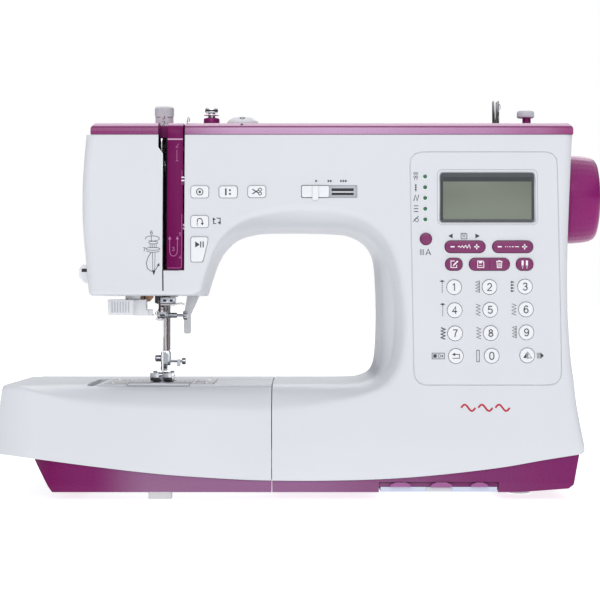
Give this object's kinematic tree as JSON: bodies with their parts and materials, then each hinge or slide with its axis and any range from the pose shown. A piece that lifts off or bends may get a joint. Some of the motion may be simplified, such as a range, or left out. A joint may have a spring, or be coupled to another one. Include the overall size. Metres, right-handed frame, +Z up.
{
  "type": "sewing machine",
  "caption": "Computerised free-arm sewing machine with removable extension table, front key panel and display, handwheel and lowered presser foot.",
  "frame": {"origin": "bottom centre of the whole machine, on the surface it stands on", "axes": "+X to the handwheel side, +Y to the back, +Z up"},
  "size_m": [0.4397, 0.196, 0.2876],
  "materials": {
    "white_shell": "semi-gloss moulded plastic, cool white",
    "magenta_shell": "semi-gloss moulded plastic, magenta",
    "white_key": "moulded key, cool white with grey symbol",
    "magenta_key": "moulded key, magenta with white symbol",
    "grey_plastic": "satin grey plastic",
    "dark_plastic": "satin black plastic",
    "chrome_steel": "polished plated steel",
    "steel_plate": "brushed steel",
    "cast_metal": "as cast",
    "motor_steel": "painted motor can",
    "display": "grey-green liquid crystal display behind clear window",
    "clear_plastic": "clear polycarbonate"
  },
  "bodies": {
    "root": {"front_cover": "white_shell", "rear_cover": "white_shell", "top_cover": "magenta_shell", "base_tray": "magenta_shell", "free_arm_cover": "white_shell", "machine_frame": "cast_metal", "thread_slot_cover": "magenta_shell", "needle_plate": "steel_plate", "winder_thread_guide": "grey_plastic", "motor": "motor_steel", "lcd_window": "display", "spool_pin": "grey_plastic"},
    "handwheel": {"handwheel": "magenta_shell", "main_shaft": "steel_plate"},
    "rotary_hook": {"rotary_hook": "steel_plate"},
    "bobbin": {"bobbin": "clear_plastic"},
    "needle_bar": {"needle_bar": "chrome_steel", "needle": "chrome_steel"},
    "needle_clamp_screw": {"needle_clamp_screw": "chrome_steel"},
    "presser_bar": {"presser_bar": "chrome_steel", "foot_holder": "chrome_steel"},
    "presser_foot": {"presser_foot": "chrome_steel"},
    "presser_lifter": {"presser_lifter": "grey_plastic"},
    "needle_threader": {"needle_threader": "white_shell"},
    "take_up_lever": {"take_up_lever": "chrome_steel"},
    "feed_dog": {"feed_dog": "steel_plate"},
    "pressure_dial": {"pressure_dial": "white_key"},
    "tension_dial": {"tension_dial": "white_key"},
    "winder_spindle": {"winder_spindle": "chrome_steel"},
    "winder_stopper": {"winder_stopper": "white_key"},
    "carry_handle": {"carry_handle": "magenta_shell"},
    "extension_table": {"extension_table": "white_shell", "extension_table_skirt": "magenta_shell"},
    "bobbin_cover": {"bobbin_cover": "clear_plastic"},
    "stitch_card_tray": {"stitch_card_tray": "grey_plastic"},
    "speed_slider": {"speed_slider": "white_key"},
    "power_switch": {"power_switch": "dark_plastic"},
    "key_1": {"key_1": "white_key"},
    "key_2": {"key_2": "white_key"},
    "key_3": {"key_3": "white_key"},
    "key_4": {"key_4": "white_key"},
    "key_5": {"key_5": "white_key"},
    "key_6": {"key_6": "white_key"},
    "key_7": {"key_7": "white_key"},
    "key_8": {"key_8": "white_key"},
    "key_9": {"key_9": "white_key"},
    "key_back": {"key_back": "white_key"},
    "key_0": {"key_0": "white_key"},
    "key_mirror": {"key_mirror": "white_key"},
    "mode_button": {"mode_button": "magenta_key"},
    "needle_updown_button": {"needle_updown_button": "white_key"},
    "needle_position_button": {"needle_position_button": "white_key"},
    "thread_cut_button": {"thread_cut_button": "white_key"},
    "reverse_button": {"reverse_button": "white_key"},
    "start_stop_button": {"start_stop_button": "white_key"},
    "edit_button": {"edit_button": "magenta_key"},
    "twin_needle_button": {"twin_needle_button": "magenta_key"},
    "width_rocker": {"width_rocker": "magenta_key"},
    "length_rocker": {"length_rocker": "magenta_key"},
    "memory_rocker": {"memory_rocker": "magenta_key"}
  },
  "joints": [
    {"name": "handwheel_spin", "type": "hinge", "parent": "root", "child": "handwheel", "pos_m": [0, -0.018, 0.2152], "axis": [1, 0, 0], "continuous": true},
    {"name": "hook_spin", "type": "hinge", "parent": "root", "child": "rotary_hook", "pos_m": [-0.1025, -0.0545, 0.06], "axis": [0, 0, 1], "continuous": true},
    {"name": "bobbin_spin", "type": "hinge", "parent": "root", "child": "bobbin", "pos_m": [-0.1025, -0.0545, 0.067], "axis": [0, 0, 1], "continuous": true},
    {"name": "needle_bar_stroke", "type": "slide", "parent": "root", "child": "needle_bar", "axis": [0, 0, -1], "range_m": [0, 0.03]},
    {"name": "needle_clamp_turn", "type": "hinge", "parent": "needle_bar", "child": "needle_clamp_screw", "pos_m": [-0.09, -0.0335, 0.1294], "axis": [1, 0, 0], "range_deg": [0, 540]},
    {"name": "presser_lifter_swing", "type": "hinge", "parent": "root", "child": "presser_lifter", "pos_m": [-0.082, 0.001, 0.1515], "axis": [1, 0, 0], "range_deg": [0, 60]},
    {"name": "presser_bar_lift", "type": "slide", "parent": "root", "child": "presser_bar", "axis": [0, 0, 1], "range_m": [0, 0.0065]},
    {"name": "presser_foot_tilt", "type": "hinge", "parent": "presser_bar", "child": "presser_foot", "pos_m": [-0.1025, -0.0215, 0.0864], "axis": [1, 0, 0], "range_deg": [-10, 0]},
    {"name": "needle_threader_press", "type": "slide", "parent": "root", "child": "needle_threader", "axis": [0, 0, -1], "range_m": [0, 0.034], "stiffness_N_per_m": 60, "springref_m": -0.004},
    {"name": "take_up_swing", "type": "hinge", "parent": "root", "child": "take_up_lever", "pos_m": [-0.097, -0.012, 0.222], "axis": [1, 0, 0], "range_deg": [0, 55]},
    {"name": "feed_dog_lift", "type": "slide", "parent": "root", "child": "feed_dog", "axis": [0, 0, 1], "range_m": [-0.003, 0.0006]},
    {"name": "pressure_dial_turn", "type": "hinge", "parent": "root", "child": "pressure_dial", "pos_m": [-0.1025, -0.017, 0.27], "axis": [0, 0, 1], "range_deg": [-360, 360]},
    {"name": "tension_dial_turn", "type": "hinge", "parent": "root", "child": "tension_dial", "pos_m": [-0.0428, -0.062, 0.268], "axis": [0, 0, 1], "range_deg": [-135, 135]},
    {"name": "winder_engage", "type": "slide", "parent": "root", "child": "winder_spindle", "axis": [1, 0, 0], "range_m": [0, 0.006]},
    {"name": "winder_stopper_turn", "type": "hinge", "parent": "root", "child": "winder_stopper", "pos_m": [0.1654, -0.028, 0.27], "axis": [0, 0, 1], "range_deg": [-90, 90]},
    {"name": "carry_handle_raise", "type": "hinge", "parent": "root", "child": "carry_handle", "pos_m": [0.065, 0.0165, 0.2565], "axis": [1, 0, 0], "range_deg": [0, 90]},
    {"name": "extension_table_pull", "type": "slide", "parent": "root", "child": "extension_table", "axis": [-1, 0, 0], "range_m": [0, 0.13]},
    {"name": "bobbin_cover_slide", "type": "slide", "parent": "root", "child": "bobbin_cover", "axis": [0, -1, 0], "range_m": [0, 0.03]},
    {"name": "card_tray_pull", "type": "slide", "parent": "root", "child": "stitch_card_tray", "axis": [0, -1, 0], "range_m": [0, 0.06]},
    {"name": "speed_slider_move", "type": "slide", "parent": "root", "child": "speed_slider", "axis": [1, 0, 0], "range_m": [0, 0.019]},
    {"name": "power_switch_rock", "type": "hinge", "parent": "root", "child": "power_switch", "pos_m": [0.1895, 0.028, 0.068], "axis": [0, 1, 0], "range_deg": [-5, 5]},
    {"name": "key_1_press", "type": "slide", "parent": "root", "child": "key_1", "axis": [0, 1, 0], "range_m": [0, 0.0012], "stiffness_N_per_m": 300, "springref_m": -0.0005},
    {"name": "key_2_press", "type": "slide", "parent": "root", "child": "key_2", "axis": [0, 1, 0], "range_m": [0, 0.0012], "stiffness_N_per_m": 300, "springref_m": -0.0005},
    {"name": "key_3_press", "type": "slide", "parent": "root", "child": "key_3", "axis": [0, 1, 0], "range_m": [0, 0.0012], "stiffness_N_per_m": 300, "springref_m": -0.0005},
    {"name": "key_4_press", "type": "slide", "parent": "root", "child": "key_4", "axis": [0, 1, 0], "range_m": [0, 0.0012], "stiffness_N_per_m": 300, "springref_m": -0.0005},
    {"name": "key_5_press", "type": "slide", "parent": "root", "child": "key_5", "axis": [0, 1, 0], "range_m": [0, 0.0012], "stiffness_N_per_m": 300, "springref_m": -0.0005},
    {"name": "key_6_press", "type": "slide", "parent": "root", "child": "key_6", "axis": [0, 1, 0], "range_m": [0, 0.0012], "stiffness_N_per_m": 300, "springref_m": -0.0005},
    {"name": "key_7_press", "type": "slide", "parent": "root", "child": "key_7", "axis": [0, 1, 0], "range_m": [0, 0.0012], "stiffness_N_per_m": 300, "springref_m": -0.0005},
    {"name": "key_8_press", "type": "slide", "parent": "root", "child": "key_8", "axis": [0, 1, 0], "range_m": [0, 0.0012], "stiffness_N_per_m": 300, "springref_m": -0.0005},
    {"name": "key_9_press", "type": "slide", "parent": "root", "child": "key_9", "axis": [0, 1, 0], "range_m": [0, 0.0012], "stiffness_N_per_m": 300, "springref_m": -0.0005},
    {"name": "key_back_press", "type": "slide", "parent": "root", "child": "key_back", "axis": [0, 1, 0], "range_m": [0, 0.0012], "stiffness_N_per_m": 300, "springref_m": -0.0005},
    {"name": "key_0_press", "type": "slide", "parent": "root", "child": "key_0", "axis": [0, 1, 0], "range_m": [0, 0.0012], "stiffness_N_per_m": 300, "springref_m": -0.0005},
    {"name": "key_mirror_press", "type": "slide", "parent": "root", "child": "key_mirror", "axis": [0, 1, 0], "range_m": [0, 0.0012], "stiffness_N_per_m": 300, "springref_m": -0.0005},
    {"name": "mode_button_press", "type": "slide", "parent": "root", "child": "mode_button", "axis": [0, 1, 0], "range_m": [0, 0.0012], "stiffness_N_per_m": 300, "springref_m": -0.0005},
    {"name": "needle_updown_button_press", "type": "slide", "parent": "root", "child": "needle_updown_button", "axis": [0, 1, 0], "range_m": [0, 0.0012], "stiffness_N_per_m": 300, "springref_m": -0.0005},
    {"name": "needle_position_button_press", "type": "slide", "parent": "root", "child": "needle_position_button", "axis": [0, 1, 0], "range_m": [0, 0.0012], "stiffness_N_per_m": 300, "springref_m": -0.0005},
    {"name": "thread_cut_button_press", "type": "slide", "parent": "root", "child": "thread_cut_button", "axis": [0, 1, 0], "range_m": [0, 0.0012], "stiffness_N_per_m": 300, "springref_m": -0.0005},
    {"name": "reverse_button_press", "type": "slide", "parent": "root", "child": "reverse_button", "axis": [0, 1, 0], "range_m": [0, 0.0012], "stiffness_N_per_m": 300, "springref_m": -0.0005},
    {"name": "start_stop_button_press", "type": "slide", "parent": "root", "child": "start_stop_button", "axis": [0, 1, 0], "range_m": [0, 0.0012], "stiffness_N_per_m": 300, "springref_m": -0.0005},
    {"name": "edit_button_press", "type": "slide", "parent": "root", "child": "edit_button", "axis": [0, 1, 0], "range_m": [0, 0.0012], "stiffness_N_per_m": 300, "springref_m": -0.0005},
    {"name": "twin_needle_button_press", "type": "slide", "parent": "root", "child": "twin_needle_button", "axis": [0, 1, 0], "range_m": [0, 0.0012], "stiffness_N_per_m": 300, "springref_m": -0.0005},
    {"name": "width_rocker_rock", "type": "hinge", "parent": "root", "child": "width_rocker", "pos_m": [0.1143, -0.09125, 0.178], "axis": [0, 0, 1], "range_deg": [-3, 3], "stiffness_Nm_per_rad": 0.06},
    {"name": "length_rocker_rock", "type": "hinge", "parent": "root", "child": "length_rocker", "pos_m": [0.14775, -0.09125, 0.178], "axis": [0, 0, 1], "range_deg": [-3, 3], "stiffness_Nm_per_rad": 0.06},
    {"name": "memory_rocker_rock", "type": "hinge", "parent": "root", "child": "memory_rocker", "pos_m": [0.1313, -0.09202, 0.1657], "axis": [0, 0, 1], "range_deg": [-3, 3], "stiffness_Nm_per_rad": 0.06}
  ],
  "couplings": [
    {"joint": "hook_spin", "follows": "handwheel_spin", "ratio": 2},
    {"joint": "presser_lifter_swing", "follows": "presser_bar_lift", "rad_per_m": 161}
  ]
}
